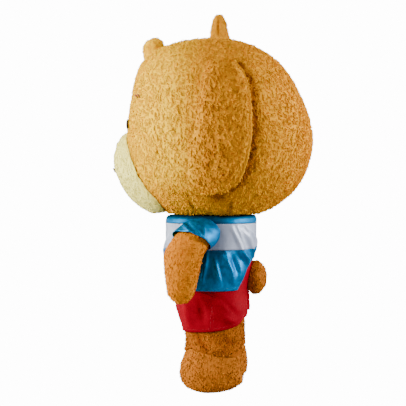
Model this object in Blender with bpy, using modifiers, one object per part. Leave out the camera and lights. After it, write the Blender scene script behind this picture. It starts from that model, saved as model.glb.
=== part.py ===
# Dog mascot costume: plush head, plush suit, satin T-shirt and shorts, worn and filled out.
# Metres. x points to the costume's left, y to its back, z up. Heights are above the soles.
import math

import bmesh
import bpy
from mathutils import Vector

COLLECTION = "dog_mascot_costume"

# Where the wearer's shoulders carry the costume: the centre of its neck hole.
HOLD_HEIGHT = 0.9480

# Cloth walls and the gaps between pieces.
SATIN = 0.0015
PLUSH = 0.006
HEAD_WALL = 0.020
SEAM_GAP = 0.0003
SHORTS_EASE = 0.0090
SLEEVE_EASE = 0.0115
WAIST_EASE = 0.0032

# How square a section is: 2 is an ellipse.
HEAD_BOW_FRONT = 2.30
HEAD_BOW_BACK = 2.10
BODY_BOW = 2.30
LEG_BOW = 2.20
MUZZLE_BOW = 2.20

# Points round a whole section.
HEAD_COLUMNS = 30
SHIRT_COLUMNS = 56
SUIT_COLUMNS = 28
LEG_COLUMNS = 20
FOOT_COLUMNS = 18
ARM_COLUMNS = 14
MUZZLE_COLUMNS = 20
TUFT_COLUMNS = 14
SEAM_EDGE = 0.006
# Rows of the head that places on its surface are read from.
HEAD_FINE_ROWS = 97

HOOP_TOP = 0.905
HOOP_BOTTOM = 0.768
SHIRT_HEM = 0.553
SUIT_WAIST = 0.700
SHORTS_WAIST = 0.738
SHORTS_SEAM_COVER = 0.715
WAIST_BAND = 0.060
CROTCH = 0.457
HEAD_MIDDLE = 0.035
HEAD_CENTRE = 1.400
HEAD_STRETCH = 1.001
LEG_CENTRE = 0.133


def rows(columns, *values):
    names = columns.split()
    return [dict(zip(names, value)) for value in values]


HEAD = rows(
    "height front back half_width",
    (1.8990, -0.084, 0.104, 0.100),
    (1.8700, -0.218, 0.214, 0.236),
    (1.8070, -0.350, 0.338, 0.375),
    (1.7090, -0.406, 0.432, 0.462),
    (1.5770, -0.428, 0.502, 0.515),
    (1.4450, -0.450, 0.548, 0.530),
    (1.3130, -0.453, 0.564, 0.526),
    (1.1810, -0.424, 0.525, 0.492),
    (1.0810, -0.366, 0.467, 0.428),
    (1.0080, -0.296, 0.380, 0.350),
    (0.9670, -0.250, 0.305, 0.290),
    (0.9500, -0.217, 0.247, 0.237),
    (0.9483, -0.198, 0.207, 0.200),
)
HEAD_ROWS = 16

MUZZLE = rows(
    "height front middle back half_width",
    (1.4050, -0.440, -0.300, -0.200, 0.090),
    (1.3850, -0.486, -0.260, -0.160, 0.182),
    (1.3470, -0.515, -0.260, -0.160, 0.246),
    (1.2470, -0.542, -0.260, -0.160, 0.297),
    (1.1810, -0.526, -0.260, -0.160, 0.292),
    (1.1150, -0.498, -0.260, -0.160, 0.270),
    (1.0480, -0.458, -0.260, -0.160, 0.240),
    (1.0080, -0.414, -0.260, -0.170, 0.207),
    (0.9820, -0.374, -0.270, -0.210, 0.166),
    (0.9660, -0.344, -0.290, -0.250, 0.121),
    (0.9570, -0.328, -0.305, -0.280, 0.072),
)
MUZZLE_ROWS = 12

# Ear: its front and back edge at each height, how far it stands off the head, and its thickness.
EAR = rows(
    "height front back lift thick",
    (1.7480, 0.070, 0.112, -0.006, 0.018),
    (1.7250, 0.036, 0.168, -0.005, 0.026),
    (1.6950, 0.024, 0.196, -0.003, 0.032),
    (1.6400, 0.012, 0.230, 0.003, 0.034),
    (1.5600, -0.004, 0.248, 0.008, 0.034),
    (1.4700, -0.020, 0.256, 0.010, 0.034),
    (1.3900, -0.036, 0.261, 0.012, 0.034),
    (1.3080, -0.054, 0.254, 0.014, 0.034),
    (1.2270, -0.068, 0.238, 0.016, 0.034),
    (1.1650, -0.078, 0.219, 0.018, 0.034),
    (1.1160, -0.080, 0.188, 0.020, 0.032),
    (1.0850, -0.070, 0.146, 0.022, 0.028),
    (1.0680, -0.036, 0.090, 0.024, 0.018),
)
# The back edge stands off the head by this much more where the ear hangs free.
EAR_FLARE = 0.034
EAR_FREE_LIFT = 0.030
EAR_ROOT_LIFT = -0.006
# How full the ear is towards its edges, and the share of its thickness left there.
EAR_EDGE_BOW = 4.0
EAR_EDGE = 0.30
EAR_WELT = 0.02
# The front edge is sewn flush: it is sunk this far into the head, fading out across the ear.
EAR_SINK = 0.024
EAR_COLUMNS = 8

FORELOCK = rows(
    "height front back half_width",
    (1.9190, -0.326, -0.292, 0.018),
    (1.9080, -0.350, -0.274, 0.040),
    (1.8850, -0.374, -0.259, 0.056),
    (1.8560, -0.384, -0.252, 0.062),
    (1.8250, -0.380, -0.248, 0.064),
    (1.7800, -0.366, -0.244, 0.062),
)
CROWN_TUFT = rows(
    "height front back half_width",
    (2.0400, 0.030, 0.060, 0.016),
    (2.0200, 0.012, 0.077, 0.034),
    (1.9900, 0.002, 0.087, 0.047),
    (1.9500, -0.003, 0.095, 0.055),
    (1.9120, -0.006, 0.103, 0.060),
    (1.8700, -0.010, 0.116, 0.063),
)
TUFT_CROWN = 0.003

EYE = {"side": 0.236, "height": 1.428, "wide": 0.021, "tall": 0.029, "deep": 0.010, "sink": 0.003}
NOSE = {"height": 1.322, "front": -0.518, "wide": 0.044, "tall": 0.027, "deep": 0.010}

# The T-shirt's outer surface from the neck hole down.
SHIRT = rows(
    "height front back half_width",
    (0.9480, -0.200, 0.208, 0.203),
    (0.9480, -0.214, 0.222, 0.217),
    (0.9440, -0.234, 0.242, 0.237),
    (0.9310, -0.245, 0.251, 0.248),
    (0.9050, -0.247, 0.251, 0.251),
    (0.8540, -0.247, 0.249, 0.252),
    (0.7890, -0.247, 0.244, 0.251),
    (0.7000, -0.245, 0.238, 0.250),
    (0.6300, -0.238, 0.229, 0.250),
    (0.5300, -0.223, 0.217, 0.252),
)
# The plush suit's outer surface, from the neck hole to the waist.
SUIT = rows(
    "height front back half_width",
    (0.9462, -0.198, 0.206, 0.201),
    (0.9462, -0.208, 0.216, 0.211),
    (0.9380, -0.222, 0.229, 0.224),
    (0.9160, -0.231, 0.237, 0.235),
    (0.8540, -0.2335, 0.2355, 0.2385),
    (0.7800, -0.2335, 0.2290, 0.2365),
    (0.7200, -0.2300, 0.2220, 0.2345),
    (0.7000, -0.2300, 0.2220, 0.2345),
)
# Hips and legs of the suit. fork runs from 0, one half of the hips, to 1, a leg of its own.
LEG = rows(
    "height front back half_width inner middle fork",
    (0.7000, -0.2300, 0.2220, 0.2345, 0.011, 0.000, 0.00),
    (0.6800, -0.2290, 0.2210, 0.2340, 0.011, 0.000, 0.00),
    (0.6100, -0.2150, 0.2080, 0.2320, 0.011, 0.005, 0.00),
    (0.5500, -0.1970, 0.1980, 0.2330, 0.011, 0.010, 0.02),
    (0.5080, -0.1790, 0.1950, 0.2370, 0.011, 0.018, 0.16),
    (0.4780, -0.1640, 0.1910, 0.2440, 0.011, 0.025, 0.50),
    (0.4570, -0.1540, 0.1880, 0.2480, 0.011, 0.030, 1.00),
    (0.4000, -0.1400, 0.1850, 0.2520, 0.011, 0.030, 1.00),
    (0.3300, -0.1290, 0.1820, 0.2530, 0.010, 0.030, 1.00),
    (0.2700, -0.1270, 0.1830, 0.2560, 0.008, 0.030, 1.00),
    (0.2350, -0.1340, 0.1880, 0.2600, 0.006, 0.030, 1.00),
    (0.1900, -0.1360, 0.1910, 0.2600, 0.008, 0.030, 1.00),
)
LEG_LOWER_ROWS = 5
SHIRT_LOWER_ROWS = 6
SHORTS_LOWER_ROWS = 3

# The hip rows that the shorts and the seat of the tail follow.
SHORTS_FORM_TOP = 0.690
# The shirt's hem by degrees away from the middle of the back, where it is cut up over the tail.
SHIRT_ARCH = {0: 0.716, 16: 0.703, 29: 0.676, 37: 0.606, 41: 0.572, 46: SHIRT_HEM, 180: SHIRT_HEM}

# The largest folds, as soft ridges. Each runs from one angle and height to another and fades at its
# ends. On the shirt 0 is the left side, on the shorts the outer side; -90 is the front on both.
SHIRT_FOLDS = rows(
    "angle height to_angle to_height rise width",
    (20, 0.760, 34, 0.565, 0.012, 0.032),
    (44, 0.800, 52, 0.600, 0.011, 0.034),
    (62, 0.890, 78, 0.730, 0.009, 0.032),
    (-8, 0.715, -16, 0.560, 0.008, 0.032),
    (-50, 0.850, -62, 0.590, 0.012, 0.034),
    (-78, 0.760, -88, 0.560, 0.010, 0.036),
    (-132, 0.850, -116, 0.610, 0.012, 0.034),
    (-172, 0.710, -164, 0.560, 0.008, 0.032),
    (160, 0.755, 148, 0.570, 0.012, 0.032),
    (132, 0.810, 126, 0.640, 0.010, 0.034),
    (112, 0.885, 100, 0.740, 0.009, 0.032),
)
SHORTS_FOLDS = rows(
    "angle height to_angle to_height rise width",
    (6, 0.560, 44, 0.400, 0.009, 0.036),
    (-34, 0.540, -40, 0.360, 0.010, 0.040),
    (-62, 0.600, -96, 0.420, 0.009, 0.038),
    (50, 0.580, 66, 0.430, 0.008, 0.036),
)
FOLD_RADIUS = {"shirt": 0.245, "shorts": 0.125}

# Heights of an edge round a left leg: 0 is the outer side, -90 the front, 90 the back.
SHORTS_HEM = {-180: 0.418, -135: 0.385, -90: 0.334, -45: 0.334, 0: 0.342, 45: 0.362, 90: 0.408, 135: 0.430, 180: 0.418}
LEG_HEM = {-180: 0.222, -135: 0.215, -90: 0.218, -45: 0.252, 0: 0.222, 45: 0.204, 90: 0.214, 135: 0.222, 180: 0.222}

FOOT = rows(
    "height front back half_width inner middle",
    (0.2900, -0.108, 0.164, 0.237, 0.030, 0.030),
    (0.2450, -0.123, 0.177, 0.249, 0.018, 0.030),
    (0.2050, -0.1345, 0.1865, 0.2570, 0.0105, 0.030),
    (0.1600, -0.154, 0.196, 0.264, 0.007, 0.028),
    (0.1100, -0.163, 0.203, 0.270, 0.003, 0.025),
    (0.0600, -0.155, 0.193, 0.264, 0.005, 0.022),
    (0.0240, -0.120, 0.148, 0.242, 0.022, 0.016),
    (0.0060, -0.072, 0.094, 0.212, 0.050, 0.014),
    (0.0000, -0.036, 0.058, 0.184, 0.078, 0.014),
)

# The left arm's centre line. lean turns a section from facing sideways to facing down,
# swing turns it forwards.
ARM = rows(
    "x y height across deep lean swing",
    (0.150, 0.000, 0.866, 0.058, 0.064, 8, 4),
    (0.212, -0.015, 0.862, 0.070, 0.084, 20, 10),
    (0.278, -0.038, 0.848, 0.081, 0.098, 38, 16),
    (0.330, -0.067, 0.817, 0.086, 0.099, 62, 17),
    (0.352, -0.103, 0.752, 0.087, 0.108, 80, 13),
    (0.360, -0.111, 0.685, 0.084, 0.102, 86, 5),
    (0.362, -0.111, 0.622, 0.077, 0.091, 88, 2),
    (0.362, -0.113, 0.568, 0.066, 0.083, 90, 0),
    (0.361, -0.116, 0.528, 0.049, 0.063, 90, 0),
    (0.360, -0.114, 0.502, 0.029, 0.038, 90, 0),
)
ARM_TIP = (0.360, -0.112, 0.489)
ARM_ROWS = 12
SLEEVE_END = 2.9
SLEEVE_ROWS = 6

TAIL = {"y": 0.246, "height": 0.606, "wide": 0.080, "deep": 0.063, "tall": 0.093}

COLOURS = {
    "gold_plush": ((0.62, 0.31, 0.055), 0.95),
    "cream_plush": ((0.86, 0.76, 0.45), 0.95),
    "blue_satin": ((0.015, 0.27, 0.55), 0.35),
    "white_satin": ((0.80, 0.81, 0.85), 0.38),
    "red_satin": ((0.48, 0.005, 0.015), 0.50),
    "black_gloss": ((0.010, 0.009, 0.008), 0.20),
    "dark_felt": ((0.030, 0.018, 0.014), 0.85),
}


def clear_scene():
    for old in list(bpy.data.objects):
        bpy.data.objects.remove(old, do_unlink=True)
    for name in (COLLECTION, COLLECTION + "_cutters"):
        group = bpy.data.collections.get(name)
        if group is not None:
            bpy.data.collections.remove(group)


def new_collection(name):
    group = bpy.data.collections.new(name)
    bpy.context.scene.collection.children.link(group)
    return group


def material(name):
    colour, roughness = COLOURS[name]
    made = bpy.data.materials.new(name)
    made.use_nodes = True
    shader = made.node_tree.nodes["Principled BSDF"]
    shader.inputs["Base Color"].default_value = (*colour, 1.0)
    shader.inputs["Roughness"].default_value = roughness
    shader.inputs["Metallic"].default_value = 0.0
    made.diffuse_color = (*colour, 1.0)
    return made


def at(table, place):
    """A row of the table at a fractional row number, on a smooth curve through the rows."""
    last = len(table) - 1
    k = max(0, min(int(place), last - 1))
    u = place - k
    p0, p1, p2, p3 = (table[max(0, min(last, k + n))] for n in (-1, 0, 1, 2))
    row = {}
    for name in p1:
        a, b, c, d = p0[name], p1[name], p2[name], p3[name]
        slope = (c - a) * u
        bend = (2 * a - 5 * b + 4 * c - d) * u ** 2
        twist = (3 * b - a - 3 * c + d) * u ** 3
        row[name] = 0.5 * (2 * b + slope + bend + twist)
    return row


def smooth(table, count):
    return [at(table, i * (len(table) - 1) / (count - 1)) for i in range(count)]


def at_height(table, height):
    """The table's row at a height, by straight lines between its rows."""
    for upper, lower in zip(table, table[1:]):
        if upper["height"] >= height >= lower["height"] and upper["height"] > lower["height"]:
            u = (upper["height"] - height) / (upper["height"] - lower["height"])
            return {name: upper[name] + (lower[name] - upper[name]) * u for name in upper}
    return dict(table[-1] if height < table[-1]["height"] else table[0])


def edge_height(edge, angle):
    """The height of an edge at an angle in radians, eased between the angles that it names."""
    degrees = math.degrees(angle)
    marks = sorted(edge)
    for a, b in zip(marks, marks[1:]):
        if a <= degrees <= b:
            u = 0.5 - 0.5 * math.cos(math.pi * (degrees - a) / (b - a))
            return edge[a] + (edge[b] - edge[a]) * u
    return edge[marks[-1]]


def fold_rise(folds, radius, angle, height):
    """How far the folds push the cloth out at an angle and a height."""
    rise = 0.0
    for fold in folds:
        share = (fold["height"] - height) / (fold["height"] - fold["to_height"])
        if not 0.0 < share < 1.0:
            continue
        middle = math.radians(fold["angle"] + (fold["to_angle"] - fold["angle"]) * share)
        off = radius * (angle - middle) / fold["width"]
        rise += fold["rise"] * math.sin(math.pi * share) ** 0.5 * math.exp(-off * off)
    return rise


def arc(start, end, count):
    """Angles from start to end, with a narrow column along each end so that seam edges run true."""
    inner = [start + (end - start) * i / count for i in range(1, count)]
    return [start, start + SEAM_EDGE, *inner, end - SEAM_EDGE, end]


def oval(row, angle, middle, bow_front, bow_back, grow=0.0):
    """A point of a rounded plan section. Angle 0 is the left side and -90 degrees the front."""
    c = math.cos(angle)
    s = math.sin(angle)
    bow = bow_back if s > 0 else bow_front
    reach = row["back"] - middle if s > 0 else middle - row["front"]
    x = (row["half_width"] + grow) * math.copysign(abs(c) ** (2 / bow), c)
    y = middle + (reach + grow) * math.copysign(abs(s) ** (2 / bow), s)
    return Vector((x, y, row["height"]))


def leg_section(row, angle, grow=0.0):
    """A point round the left leg: half of the hips where fork is 0, the leg alone where it is 1."""
    c = math.cos(angle)
    s = math.sin(angle)
    fork = row.get("fork", 1.0)
    middle = row["middle"]
    outer = row["half_width"] + grow
    reach = (row["back"] - middle if s > 0 else middle - row["front"]) + grow
    inner = row["inner"] - grow
    centre = 0.5 * (inner + outer)
    bow = 2 / LEG_BOW
    leg = Vector((
        centre + (outer - centre) * math.copysign(abs(c) ** bow, c),
        middle + reach * math.copysign(abs(s) ** bow, s),
        row["height"],
    ))
    if fork >= 1.0:
        return leg
    half = SEAM_GAP / 2
    hip_x = half + (LEG_CENTRE - half) * (1 + c) if c < 0 else LEG_CENTRE + (outer - LEG_CENTRE) * c
    depth = max(0.0, 1.0 - (hip_x / outer) ** BODY_BOW) ** (1 / BODY_BOW)
    hip = Vector((hip_x, middle + reach * depth * math.copysign(1.0, s), row["height"]))
    return hip.lerp(leg, fork)


def loft(name, rings, group, closed=True, start=None, end=None, side=1, shift=(0.0, 0.0, 0.0)):
    """A skin through rings that run down the piece, with a fan of faces to a point at either end."""
    mesh = bpy.data.meshes.new(name)
    bm = bmesh.new()
    move = Vector(shift)

    def vertex(point):
        moved = Vector(point) + move
        return bm.verts.new((moved.x * side, moved.y, moved.z))

    grid = [[vertex(point) for point in ring] for ring in rings]
    count = len(grid[0])
    steps = range(count if closed else count - 1)
    for upper, lower in zip(grid, grid[1:]):
        for j in steps:
            k = (j + 1) % count
            bm.faces.new((upper[j], lower[j], lower[k], upper[k]))
    for tip, ring, downward in ((start, grid[0], False), (end, grid[-1], True)):
        if tip is None:
            continue
        pole = vertex(tip)
        for j in steps:
            k = (j + 1) % count
            fan = (pole, ring[k], ring[j]) if downward else (pole, ring[j], ring[k])
            bm.faces.new(fan)
    bmesh.ops.remove_doubles(bm, verts=bm.verts, dist=0.00001)
    if side < 0:
        bmesh.ops.reverse_faces(bm, faces=bm.faces)
    bm.to_mesh(mesh)
    bm.free()
    made = bpy.data.objects.new(name, mesh)
    group.objects.link(made)
    made.parent = bpy.data.objects[COLLECTION + "_frame"]
    return made


def finish(piece, stuff):
    piece.data.materials.append(stuff)
    piece.data.shade_smooth()
    piece.data.set_sharp_from_angle(angle=math.radians(50))
    return piece


def wall(piece, thickness):
    """Turns an open skin into cloth that lies inside it."""
    solid = piece.modifiers.new("wall", "SOLIDIFY")
    solid.thickness = thickness
    solid.offset = -1.0
    solid.use_even_offset = True
    solid.use_quality_normals = True


def cut(piece, *tools):
    for tool in tools:
        trim = piece.modifiers.new("trim_" + tool.name, "BOOLEAN")
        trim.operation = "DIFFERENCE"
        trim.solver = "EXACT"
        trim.object = tool


def hide_tool(tool):
    tool.display_type = "WIRE"
    tool.hide_render = True
    return tool


def head_point(row, angle, grow=0.0):
    return oval(row, angle, HEAD_MIDDLE, HEAD_BOW_FRONT, HEAD_BOW_BACK, grow)


def head_side(y, height):
    """How far out the head's surface is at a place on its left side."""
    row = at_height(smooth(HEAD, HEAD_FINE_ROWS), height)
    behind = y > HEAD_MIDDLE
    reach = row["back"] - HEAD_MIDDLE if behind else HEAD_MIDDLE - row["front"]
    bow = HEAD_BOW_BACK if behind else HEAD_BOW_FRONT
    return row["half_width"] * (1 - min(0.999, abs(y - HEAD_MIDDLE) / reach) ** bow) ** (1 / bow)


def head_front_y(x, height):
    """How far forward the head's surface is at a place on the face."""
    row = at_height(smooth(HEAD, HEAD_FINE_ROWS), height)
    share = (1 - (abs(x) / row["half_width"]) ** HEAD_BOW_FRONT) ** (1 / HEAD_BOW_FRONT)
    return HEAD_MIDDLE - (HEAD_MIDDLE - row["front"]) * share


def make_head(parts, tools, plush):
    table = smooth(HEAD, HEAD_ROWS)
    half = HEAD_COLUMNS // 2
    halves = {"head_front": (-math.pi, 0.0, -1), "head_back": (0.0, math.pi, 1)}
    for name, (start, end, way) in halves.items():
        rings = [[head_point(row, angle) for angle in arc(start, end, half)] for row in table]
        top = (0.0, HEAD_MIDDLE, table[0]["height"])
        shift = (0.0, way * SEAM_GAP / 2, 0.0)
        shell = loft(name, rings, parts, closed=False, start=top, shift=shift)
        wall(shell, HEAD_WALL)
        finish(shell, plush)
    rings = []
    for row in table:
        taller = HEAD_CENTRE + (row["height"] - HEAD_CENTRE) * HEAD_STRETCH
        grown = dict(row, height=taller)
        rings.append([head_point(grown, angle, SEAM_GAP) for angle in full_angles(HEAD_COLUMNS)])
    top = (0.0, HEAD_MIDDLE, rings[0][0].z)
    bottom = (0.0, HEAD_MIDDLE, rings[-1][0].z)
    tool = loft("tool_head", rings, tools, start=top, end=bottom)
    return hide_tool(tool)


def make_muzzle(parts, tools, head_tool, plush):
    angles = [2 * math.pi * i / MUZZLE_COLUMNS for i in range(MUZZLE_COLUMNS)]

    def rings(grow):
        made = []
        for row in smooth(MUZZLE, MUZZLE_ROWS):
            made.append([oval(row, a, row["middle"], MUZZLE_BOW, 2.0, grow) for a in angles])
        return made

    top = (0.0, MUZZLE[0]["middle"], MUZZLE[0]["height"])
    bottom = (0.0, MUZZLE[-1]["middle"], MUZZLE[-1]["height"])
    pad = loft("muzzle", rings(0.0), parts, start=top, end=bottom)
    cut(pad, head_tool)
    finish(pad, plush)
    return hide_tool(loft("tool_muzzle", rings(SEAM_GAP), tools, start=top, end=bottom))


def make_ears(parts, head_tool, plush):
    def section(row):
        """Outer face from front to back, then inner face from back to front."""
        outer = []
        inner = []
        for i in range(EAR_COLUMNS + 1):
            u = i / EAR_COLUMNS
            y = row["front"] + (row["back"] - row["front"]) * u
            free = max(0.0, row["lift"] - EAR_ROOT_LIFT) / EAR_FREE_LIFT
            flare = EAR_FLARE * free * u ** 2
            sink = EAR_SINK * (1 - u) ** 2
            base = head_side(y, row["height"]) + row["lift"] * u + flare - sink
            fullness = max(0.0, 1 - abs(2 * u - 1) ** EAR_EDGE_BOW) ** 0.5
            face = EAR_EDGE + (1 - EAR_EDGE) * fullness
            hollow = (EAR_EDGE - EAR_WELT) * (1 - fullness)
            outer.append(Vector((base + row["thick"] * face, y, row["height"])))
            inner.append(Vector((base + row["thick"] * hollow, y, row["height"])))
        return inner[::-1] + outer

    rings = [section(row) for row in EAR]
    for name, side in (("ear_left", 1), ("ear_right", -1)):
        ends = [sum(ring, Vector()) / len(ring) for ring in (rings[0], rings[-1])]
        ear = loft(name, rings, parts, start=ends[0], end=ends[1], side=side)
        cut(ear, head_tool)
        finish(ear, plush)


def make_tufts(parts, head_tool, plush):
    angles = [2 * math.pi * i / TUFT_COLUMNS for i in range(TUFT_COLUMNS)]
    for name, table in (("forelock", FORELOCK), ("crown_tuft", CROWN_TUFT)):
        rings = []
        for row in table:
            middle = 0.5 * (row["front"] + row["back"])
            rings.append([oval(row, a, middle, 2.0, 2.0) for a in angles])
        first, last = table[0], table[-1]
        top = (0.0, 0.5 * (first["front"] + first["back"]), first["height"] + TUFT_CROWN)
        bottom = (0.0, 0.5 * (last["front"] + last["back"]), last["height"])
        tuft = loft(name, rings, parts, start=top, end=bottom)
        cut(tuft, head_tool)
        finish(tuft, plush)


def make_pebble(name, centre, radii, parts, tool, stuff):
    """A stuffed or moulded oval, trimmed to sit on what carries it."""
    bpy.ops.mesh.primitive_uv_sphere_add(segments=14, ring_count=8, radius=1.0)
    pebble = bpy.context.object
    pebble.name = name
    pebble.data.name = name
    for vertex in pebble.data.vertices:
        vertex.co = Vector(c * r for c, r in zip(vertex.co, radii)) + Vector(centre)
    for group in list(pebble.users_collection):
        group.objects.unlink(pebble)
    parts.objects.link(pebble)
    pebble.parent = bpy.data.objects[COLLECTION + "_frame"]
    cut(pebble, tool)
    return finish(pebble, stuff)


def make_face(parts, head_tool, muzzle_tool, gloss, felt):
    for name, side in (("eye_left", 1), ("eye_right", -1)):
        face = head_front_y(EYE["side"], EYE["height"])
        centre = (side * EYE["side"], face + EYE["sink"], EYE["height"])
        radii = (EYE["wide"], EYE["deep"], EYE["tall"])
        make_pebble(name, centre, radii, parts, head_tool, gloss)
    centre = (0.0, NOSE["front"], NOSE["height"])
    make_pebble("nose", centre, (NOSE["wide"], NOSE["deep"], NOSE["tall"]), parts, muzzle_tool, felt)


def body_point(row, angle, grow=0.0):
    return oval(row, angle, 0.0, BODY_BOW, BODY_BOW, grow)


def arm_ring(row, ease=0.0):
    lean = math.radians(row["lean"])
    swing = math.radians(row["swing"])
    way = Vector((
        math.cos(lean) * math.cos(swing),
        -math.sin(swing),
        -math.sin(lean) * math.cos(swing),
    ))
    fore = Vector((0.0, 1.0, 0.0))
    deep = (fore - way * fore.dot(way)).normalized()
    across = way.cross(deep)
    centre = Vector((row["x"], row["y"], row["height"]))
    ring = []
    for i in range(ARM_COLUMNS):
        angle = 2 * math.pi * i / ARM_COLUMNS
        reach = across * (row["across"] + ease) * math.cos(angle)
        ring.append(centre + reach + deep * (row["deep"] + ease) * math.sin(angle))
    return ring


def centre_of(ring):
    return sum(ring, Vector()) / len(ring)


def tube_tool(name, table, ease, tools, side):
    rings = [arm_ring(row, ease) for row in table]
    tool = loft(name, rings, tools, start=centre_of(rings[0]), end=centre_of(rings[-1]), side=side)
    return hide_tool(tool)


def make_arms(parts, tools, suit_tool, shirt_tool, plush, satin):
    """Arms and sleeves. Returns the hollows that cut the armholes of the suit and of the shirt."""
    suit_holes = []
    shirt_holes = []
    arm_table = smooth(ARM, ARM_ROWS)
    sleeve_table = [at(ARM, SLEEVE_END * i / (SLEEVE_ROWS - 1)) for i in range(SLEEVE_ROWS)]
    for name, side in (("left", 1), ("right", -1)):
        arm = loft("arm_" + name, [arm_ring(row) for row in arm_table], parts, end=ARM_TIP, side=side)
        wall(arm, PLUSH)
        cut(arm, suit_tool)
        finish(arm, plush)
        rings = [arm_ring(row, SLEEVE_EASE) for row in sleeve_table]
        sleeve = loft("sleeve_" + name, rings, parts, side=side)
        wall(sleeve, SATIN)
        cut(sleeve, shirt_tool)
        finish(sleeve, satin)
        shoulder = ARM[:4]
        suit_holes.append(tube_tool("tool_armhole_" + name, shoulder, -PLUSH, tools, side))
        ease = SLEEVE_EASE - SATIN
        shirt_holes.append(tube_tool("tool_sleeve_" + name, shoulder, ease, tools, side))
    return suit_holes, shirt_holes


def full_angles(count):
    half = count // 2
    return arc(-math.pi, 0.0, half)[:-1] + arc(0.0, math.pi, half)[:-1]


def torso_tool(name, table, count, tools, grow):
    rings = []
    for row in table:
        raised = dict(row, height=row["height"] + grow)
        rings.append([body_point(raised, angle, grow) for angle in full_angles(count)])
    top = (0.0, 0.0, rings[0][0].z)
    bottom = (0.0, 0.0, rings[-1][0].z)
    return hide_tool(loft(name, rings, tools, start=top, end=bottom))


def panel(name, span, count, parts, way, stuff, thickness, holes, folds=()):
    """A front or back panel from side seam to side seam. way is -1 for the front, 1 for the back."""
    start, end = (-math.pi, 0.0) if way < 0 else (0.0, math.pi)
    rings = []
    for height_at in span:
        ring = []
        for angle in arc(start, end, count // 2):
            row = height_at(angle) if callable(height_at) else height_at
            rise = fold_rise(folds, FOLD_RADIUS["shirt"], angle, row["height"])
            ring.append(body_point(row, angle, rise))
        rings.append(ring)
    piece = loft(name, rings, parts, closed=False, shift=(0.0, way * SEAM_GAP / 2, 0.0))
    wall(piece, thickness)
    cut(piece, *holes)
    return finish(piece, stuff)


def shirt_hem_height(angle):
    """Level at the front and sides, cut up over the tail at the back."""
    off_back = abs((math.degrees(angle) - 90 + 180) % 360 - 180)
    return edge_height(SHIRT_ARCH, math.radians(off_back))


def make_shirt(parts, blue, white, holes):
    def level(height):
        return at_height(SHIRT, height)

    half = SEAM_GAP / 2
    yoke = [row for row in SHIRT if row["height"] > HOOP_TOP + 0.001] + [level(HOOP_TOP + half)]
    heights = [HOOP_TOP - half, 0.5 * (HOOP_TOP + HOOP_BOTTOM), HOOP_BOTTOM + half]
    hoop = [level(height) for height in heights]

    def hem_row(share):
        def row_at(angle):
            top = HOOP_BOTTOM - half
            return level(top + (shirt_hem_height(angle) - top) * share)

        return row_at

    lower = [hem_row(i / (SHIRT_LOWER_ROWS - 1)) for i in range(SHIRT_LOWER_ROWS)]
    for way, place in ((-1, "front"), (1, "back")):
        for name, span, stuff in (("yoke", yoke, blue), ("hoop", hoop, white), ("hem", lower, blue)):
            cuts = holes if name != "hem" else []
            title = f"shirt_{name}_{place}"
            panel(title, span, SHIRT_COLUMNS, parts, way, stuff, SATIN, cuts, SHIRT_FOLDS)


def make_suit(parts, plush, holes):
    table = [dict(row) for row in SUIT]
    table[-1]["height"] = SUIT_WAIST + SEAM_GAP / 2
    for way, place in ((-1, "front"), (1, "back")):
        panel("suit_" + place, table, SUIT_COLUMNS, parts, way, plush, PLUSH, holes)


def leg_angles():
    return [-math.pi + 2 * math.pi * i / LEG_COLUMNS for i in range(LEG_COLUMNS + 1)]


def make_foot_tool(tools, side, name):
    rings = []
    for row in FOOT:
        ring = [leg_section(row, angle, SEAM_GAP) for angle in foot_angles()]
        rings.append(ring)
    top = centre_of(rings[0])
    bottom = centre_of(rings[-1])
    return hide_tool(loft("tool_foot_" + name, rings, tools, start=top, end=bottom, side=side))


def foot_angles():
    return [2 * math.pi * i / FOOT_COLUMNS for i in range(FOOT_COLUMNS)]


def make_legs(parts, tools, plush):
    hip = [row for row in LEG if row["height"] >= CROTCH]
    hip[0] = dict(hip[0], height=SUIT_WAIST - SEAM_GAP / 2)
    for name, side in (("left", 1), ("right", -1)):
        rings = [[leg_section(row, angle) for angle in leg_angles()] for row in hip]
        for i in range(1, LEG_LOWER_ROWS + 1):
            ring = []
            for angle in leg_angles():
                drop = (CROTCH - edge_height(LEG_HEM, angle)) * i / LEG_LOWER_ROWS
                ring.append(leg_section(at_height(LEG, CROTCH - drop), angle))
            rings.append(ring)
        leg = loft("leg_" + name, rings, parts, closed=False, side=side)
        wall(leg, PLUSH)
        cut(leg, make_foot_tool(tools, side, name))
        finish(leg, plush)
        rings = [[leg_section(row, angle) for angle in foot_angles()] for row in FOOT]
        foot = loft("foot_" + name, rings, parts, end=centre_of(rings[-1]), side=side)
        wall(foot, PLUSH)
        finish(foot, plush)


def shorts_ease(height):
    """Snug at the waist, loose from the hips down."""
    share = min(1.0, max(0.0, (SHORTS_WAIST - height) / WAIST_BAND))
    return WAIST_EASE + (SHORTS_EASE - WAIST_EASE) * share


def waist_rows():
    """The shorts reach up over the suit's waist seam."""
    return [dict(LEG[0], **at_height(SUIT, height)) for height in (SHORTS_WAIST, SHORTS_SEAM_COVER)]


def shorts_point(row, angle, ease):
    rise = fold_rise(SHORTS_FOLDS, FOLD_RADIUS["shorts"], angle, row["height"])
    return leg_section(row, angle, ease + rise)


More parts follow.
